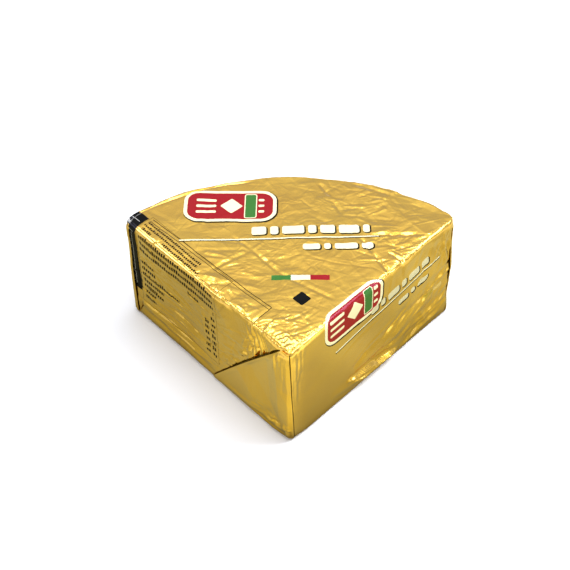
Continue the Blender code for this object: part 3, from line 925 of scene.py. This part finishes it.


# the foil with its print, and with painted shade in the slit and along the seam by the tip
def printedFoilWithPaintedShade():
    material, shader, gold, rough, tools = foilMaterial("printedGoldFoilWithPaintedShade")
    place, calc, times, _, noise, remap, blend = tools
    box, within, either, lines = printTools(tools)
    plan = place("ShaderNodeUVMap", uv_map="planPrint").outputs[0]
    wall = place("ShaderNodeUVMap", uv_map="wallPrint").outputs[0]
    layers = []                 # print inks and painted shade, each with where it lies, the lowest first

    def lay(layerName, mask):
        layers.append((layerName, mask))

    def leftBox(*reach):        # in millimetres: from and to along the left side, then from and to in height
        start, end, low, high = (float(value) * mm for value in reach)
        return box(wall, (tipCut - (start + end) / 2, (low + high) / 2), (end - start, high - low))

    def leftBoxes(*rows):
        return either([within(leftBox(*row)) for row in rows])

    # painted shade: a dark band in the slit behind the open edge of the fold by the tip, and a dark line
    # along the seam at the tip
    fold = folds["tipFold"]
    split = place("ShaderNodeSeparateXYZ", {0: wall})
    along = times(split.outputs["X"], -1.0)
    share = calc("DIVIDE", along, fold["reach"])
    sag = times(calc("SUBTRACT", share, times(share, share)), 4 * foldSheet["bow"])
    crest = calc("ADD", calc("MULTIPLY_ADD", share, -fold["apex"], fold["apex"]), sag)
    above = calc("SUBTRACT", split.outputs["Y"], crest)
    aside = calc("ABSOLUTE", calc("SUBTRACT", along, slitShade["middle"]))
    thick = remap(aside, slitShade["near"], slitShade["far"], slitShade["thick"], slitShade["thin"])
    uneven = calc("SUBTRACT", noise(wall, 170.0, 2.0), 0.5)
    thick = calc("MULTIPLY_ADD", uneven, slitShade["uneven"], thick)
    dark = calc("DIVIDE", calc("SUBTRACT", thick, above), slitShade["blur"])
    dark = calc("MINIMUM", calc("MAXIMUM", dark, 0.0), 1.0)
    reach = times(calc("GREATER_THAN", along, 0.010), calc("GREATER_THAN", above, -0.002))
    reach = times(reach, calc("LESS_THAN", along, fold["reach"] + 0.001))
    lay("shade", times(times(dark, reach), slitShade["cover"]))
    # painted shade: a thin dark line on the wall just outside the fold's edge at the tip
    seamShade = within(box(wall, (0.0012, 0.0388), (0.0755, 0.0008), 91.65))
    lay("shade", times(seamShade, slitShade["cover"]))
    # small print on the left wall, lapping over the top's edge
    strokes = lines(wall, textRows["wall"])
    panels = leftBoxes(
        (68, 140, 62.4, 78),
        (68, 93, 57.2, 62.4),
        (126, 139.5, 46.8, 57.2),
        (103, 139.5, 41.6, 46.8),
        (119, 139.5, 31.2, 41.6),
        (129, 139.5, 20.8, 31.2),
        (67.5, 71.5, 20.8, 57.2),
        (73.5, 77.5, 20.8, 52),
    )
    lay("brown", times(strokes, panels))
    rows = leftBoxes(
        (82, 140, 81.2, 84.1),
        (90, 141, 84.1, 89.9),
    )
    lay("brown", times(lines(wall, textRows["top"]), rows))
    outer = leftBox(66, 142.5, 17.5, 93)
    frameLine = times(within(outer, 0.0004), calc("GREATER_THAN", outer, 0.00002))
    rules = [within(box(plan, centre, size, turn)) for centre, size, turn in (
        ((-0.0479, 0.0746), (0.1072, 0.0005), 134.3),
        ((-0.0495, 0.0731), (0.1072, 0.0004), 134.3),
        ((-0.0157, 0.0305), (0.0156, 0.0005), 47.0),
    )]
    lay("brown", either(rules + [times(frameLine, 0.75)]))
    # the black corner panel
    lay("black", within(leftBox(143.2, 164, 25, 90.5)))
    marks = leftBoxes(
        (147.5, 147.8, 29, 73),
        (145.5, 160, 84.6, 85),
        (151, 151.4, 76, 91.2),
        (150, 156, 78.2, 82),
        (145.5, 160, 74.8, 75.2),
    )
    lay("white", times(marks, 0.6))
    speckle = times(strokes, within(leftBox(149.5, 158, 28, 72)))
    lay("white", times(speckle, 0.30))
    # the labels: a red panel with a cream border, short bars, a lozenge and an upright green band
    for spots, centre, size in ((plan, (-0.0380, 0.1255), label["size"]),
                                (wall, (0.0563 - tipCut, 0.0712), (0.0520, 0.0265))):
        shade = box(spots, (centre[0] + 0.0005, centre[1] - 0.0007), size, rounding=label["round"])
        lay("brown", within(shade, 0.0006))
        body = box(spots, centre, size, rounding=label["round"])
        lay("cream", within(body))
        lay("red", within(body, -label["border"]))
        bandSize = (0.0066, size[1] - 2 * label["border"] - 0.003)
        band = box(spots, (centre[0] + 0.0128, centre[1]), bandSize, rounding=0.0010)
        lay("cream", within(band, 0.0006))
        lay("green", within(band))
        lozenge = box(spots, (centre[0] + 0.0008, centre[1]), (0.0100, 0.0100), 45.0, 0.0008)
        bars = [box(spots, (centre[0] + aside, centre[1] + rise), (wide, 0.0022), rounding=0.0009)
                for aside, wide in ((-0.0150, 0.0125), (0.0195, 0.0036)) for rise in (-0.0054, 0.0, 0.0054)]
        lay("cream", either([within(lozenge)] + [within(bar) for bar in bars]))
    # cream blocks with a dark edge, over and under a thin line
    for spots, x, y, tall, slope, widths in (
        (plan, -0.0240, 0.1025, 0.0072, 1.6, (0.0090, 0.0050, 0.0135, 0.0050, 0.0090, 0.0125, 0.0040)),
        (plan, 0.0075, 0.0880, 0.0048, 1.6, (0.0105, 0.0040, 0.0140, 0.0070)),
        (wall, 0.0715, 0.0585, 0.0056, 5.5, (0.0065, 0.0040, 0.0105, 0.0045, 0.0100, 0.0070)),
        (wall, 0.0970, 0.0475, 0.0036, 5.5, (0.0095, 0.0040, 0.0110)),
    ):
        blocks = []
        for wide in widths:
            blocks.append((x + wide / 2, y, wide))
            x += wide + 0.0024
            y += (wide + 0.0024) * tan(radians(slope))
        # on the walls the cream covers three quarters, letting gold through so it reads darker there than on
        # the top: painted shade
        for layerName, shift, grow, cover in (("brown", (0.0006, -0.0007), 0.0004, 1.0),
                                            ("cream", (0.0, 0.0), 1e-6, 1.0 if spots == plan else 0.75)):
            masks = [within(box(spots, (cx + shift[0], cy + shift[1]), (wide, tall), slope, 0.0016), grow)
                     for cx, cy, wide in blocks]
            lay(layerName, times(either(masks), cover))
    for spots, centre, size, turn in ((plan, (-0.0070, 0.0955), (0.1220, 0.0010), 1.6),
                                      (wall, (0.0880, 0.0535), (0.0980, 0.0010), 5.5)):
        lay("brown", within(box(spots, (centre[0] + 0.0002, centre[1] - 0.0005), size, turn), 0.0003))
        lay("cream", within(box(spots, centre, size, turn)))
    # the three-colour strips and a small dark lozenge
    for centre, layerName in ((0.1285, "green"), (0.1375, "cream")):
        strip = within(box(wall, (centre - tipCut, 0.0320), (0.0085, 0.0030), 5.5))
        lay(layerName, times(strip, 0.35))
    third = stripe["size"][0] / 3
    for step, layerName in ((-1, "green"), (0, "cream"), (1, "red")):
        centre = (stripe["at"][0] + step * third, stripe["at"][1])
        lay(layerName, within(box(plan, centre, (third, stripe["size"][1]))))
    lay("black", within(box(plan, (0.0070, 0.0440), (0.0080, 0.0080), 45.0, 0.0010)))

    colour, cover, gloss = gold, None, foil["coat"]
    for layerName, mask in layers:
        colour = blend(mask, colour, (*inkAndShade[layerName], 1))
        cover = mask if cover is None else calc("MAXIMUM", cover, mask)
        gloss = place("ShaderNodeMix", {0: mask, 2: gloss, 3: inkAndShadeGloss[layerName]}).outputs[0]
    tree = material.node_tree
    tree.links.new(colour, shader.inputs["Base Color"])
    tree.links.new(calc("MULTIPLY_ADD", cover, -0.88, 1.0), shader.inputs["Metallic"])
    tree.links.new(rough, shader.inputs["Roughness"])
    tree.links.new(gloss, shader.inputs["Coat Weight"])
    return material


def colourRamp(place, share, levels):           # the ramp's two ends first, then what lies between
    ramp = place("ShaderNodeValToRGB", {"Fac": share})
    stops = ramp.color_ramp.elements
    for index, (spot, level) in enumerate(levels):
        stop = stops[index] if index < 2 else stops.new(spot)
        stop.position = spot
        stop.color = (*level, 1)
    return ramp.outputs[0]


def buildStudio():
    scene = bpy.context.scene
    scene.view_settings.view_transform = "Standard"
    scene.view_settings.look = "None"
    world = bpy.data.worlds.new("studioSky")
    scene.world = world
    world.use_nodes = True
    tree = world.node_tree
    place, *_ = nodeTools(tree)
    way = place("ShaderNodeTexCoord").outputs["Generated"]
    up = place("ShaderNodeSeparateXYZ", {0: way}).outputs["Z"]
    levels = ((0.0, 0.90), (1.0, 1.35), (0.22, 0.60), (0.45, 0.63), (0.62, 0.76), (0.73, 0.93), (0.87, 1.25))
    sky = colourRamp(place, up, [(spot, (level,) * 3) for spot, level in levels])
    tree.links.new(sky, tree.nodes["Background"].inputs[0])
    tree.nodes["Background"].inputs[1].default_value = 1.0

    for name in ("seenFloor", "mirroredFloor"):
        seen = name == "seenFloor"
        bpy.ops.mesh.primitive_circle_add(vertices=96, radius=6.0, fill_type="NGON",
                                          location=(0, 0, -0.0002 if seen else -0.0004))
        floor = bpy.context.object
        floor.name = name
        material = bpy.data.materials.new(name)
        material.use_nodes = True
        if seen:
            shader = material.node_tree.nodes["Principled BSDF"]
            shader.inputs["Base Color"].default_value = (0.83, 0.855, 0.91, 1)
            shader.inputs["Roughness"].default_value = 1.0
            shader.inputs["Specular IOR Level"].default_value = 0.0
        else:
            # the mirrored floor glows, with its shadow at the wedge's foot painted in
            glowFloorWithPaintedShade(material.node_tree)
        floor.data.materials.append(material)
        floor.visible_camera = seen
        floor.visible_glossy = not seen
        floor.visible_diffuse = not seen
        floor.visible_shadow = False

    for name, spot, aim, size, power, mirrored in (
        ("keyLight", (0.75, 0.35, 1.00), (0.0, 0.0, 0.03), 0.64, 7.5, True),
        ("overheadLight", (-0.15, 0.00, 1.30), (0.0, 0.0, 0.03), 0.75, 6.5, True),
        ("leftLight", (-1.10, 0.30, 0.80), (0.0, 0.0, 0.05), 0.60, 5.0, True),
        ("rightLight", (1.15, -0.30, 0.75), (0.0, 0.0, 0.03), 0.45, 4.0, True),
        ("fillLight", (0.20, 0.10, 1.40), (0.0, 0.0, 0.03), 1.00, 12.0, False),
        ("shadowLight", (0.85, 0.12, 1.20), (0.0, 0.0, 0.00), 0.42, 13.0, False),
    ):
        light = bpy.data.lights.new(name, "AREA")
        light.size = size
        light.energy = power
        light.color = (0.97, 1.00, 1.50) if mirrored else (1.0, 1.0, 1.0)
        lamp = bpy.data.objects.new(name, light)
        scene.collection.objects.link(lamp)
        lamp.location = spot
        lamp.rotation_euler = (Vector(aim) - Vector(spot)).to_track_quat("-Z", "Y").to_euler()
        lamp.visible_glossy = mirrored
        lamp.visible_diffuse = not mirrored


def glowFloorWithPaintedShade(tree):           # what the foil mirrors: a glowing tabletop with painted shadow, dark at the wedge's foot and bright far off
    place, calc, times, vector, noise, remap, _ = nodeTools(tree)
    where = vector("SUBTRACT", place("ShaderNodeNewGeometry").outputs["Position"], tuple(tipPoint)).outputs[0]
    left = vector("DOT_PRODUCT", where, (*leftOut, 0)).outputs["Value"]
    right = vector("DOT_PRODUCT", where, (*rightOut, 0)).outputs["Value"]
    far = calc("SUBTRACT", vector("LENGTH", where).outputs["Value"], wedge["side"])
    away = calc("MAXIMUM", calc("MAXIMUM", calc("MAXIMUM", left, right), far), 0.0)
    share = calc("DIVIDE", away, calc("ADD", away, 0.1))
    glowAndShadow = colourRamp(place, share, (
        (0.0, (0.20, 0.17, 0.07)), (1.0, (1.4, 1.4, 1.4)), (0.04, (0.46, 0.42, 0.18)),
        (0.13, (0.58, 0.54, 0.25)), (0.375, (0.70, 0.66, 0.32)), (0.545, (0.86, 0.83, 0.48)),
        (0.75, (1.30, 1.28, 1.00)),
    ))
    split = place("ShaderNodeSeparateXYZ", {0: where})
    # painted shade and light: the glow is dimmer on the left and brighter in front of the tip
    sides = remap(split.outputs["X"], -0.18, 0.06, 0.67, 1.05)
    front = remap(split.outputs["Y"], -0.025, 0.012, 1.6, 1.0)
    patches = calc("ADD", noise(where, 15.0, 1.0), 0.5)
    strength = times(times(sides, front), patches)
    glow = place("ShaderNodeEmission", {"Color": glowAndShadow, "Strength": strength})
    tree.links.new(glow.outputs[0], tree.nodes["Material Output"].inputs["Surface"])


def buildCamera():
    view = {"lens": 85.29, "elevation": 44.87, "azimuth": 1.54, "roll": -1.23, "distance": 0.8505,
            "target": (-0.0040, 0.0953, 0.0400)}            # the target is measured from the sharp tip
    camera = bpy.data.objects.new("photoCamera", bpy.data.cameras.new("photoCamera"))
    bpy.context.scene.collection.objects.link(camera)
    camera.data.lens = view["lens"]
    camera.data.sensor_width = 36.0
    elevation, azimuth, roll = (radians(view[name]) for name in ("elevation", "azimuth", "roll"))
    back = Vector((sin(azimuth) * cos(elevation), -cos(azimuth) * cos(elevation), sin(elevation)))
    right = Vector((cos(azimuth), sin(azimuth), 0))
    up = back.cross(right)
    across = right * cos(roll) + up * sin(roll)
    above = up * cos(roll) - right * sin(roll)
    place = Vector(tipPoint) + Vector(view["target"]) + back * view["distance"]
    turn = Matrix((across, above, back)).transposed().to_4x4()
    camera.matrix_world = Matrix.Translation(place) @ turn
    bpy.context.scene.camera = camera


buildCamera()
buildStudio()
plain = plainFoil()

parts = buildSkin()
points = np.concatenate([part[0] for part in parts])
faces = []
offset = 0
for part in parts:
    faces += [[corner + offset for corner in face] for face in part[2]]
    offset += len(part[0])
wrap = newPiece("wrapSkin", points, faces)
planSpots, wallSpots = sheetCoordinates(parts)
for name, spots in (("planPrint", planSpots), ("wallPrint", wallSpots)):
    layer = wrap.data.uv_layers.new(name=name)
    layer.data.foreach_set("uv", spots.astype(np.float32).ravel())
printed = printedFoilWithPaintedShade()
for piece in splitSkin(wrap, len(parts[0][2])):
    dress(piece, printed)
    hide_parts("wrapped_wedge")
    print(piece.name, "built:", len(piece.data.polygons), "faces")
for name, fold in folds.items():
    buildFold(name, fold)
print("folds built")
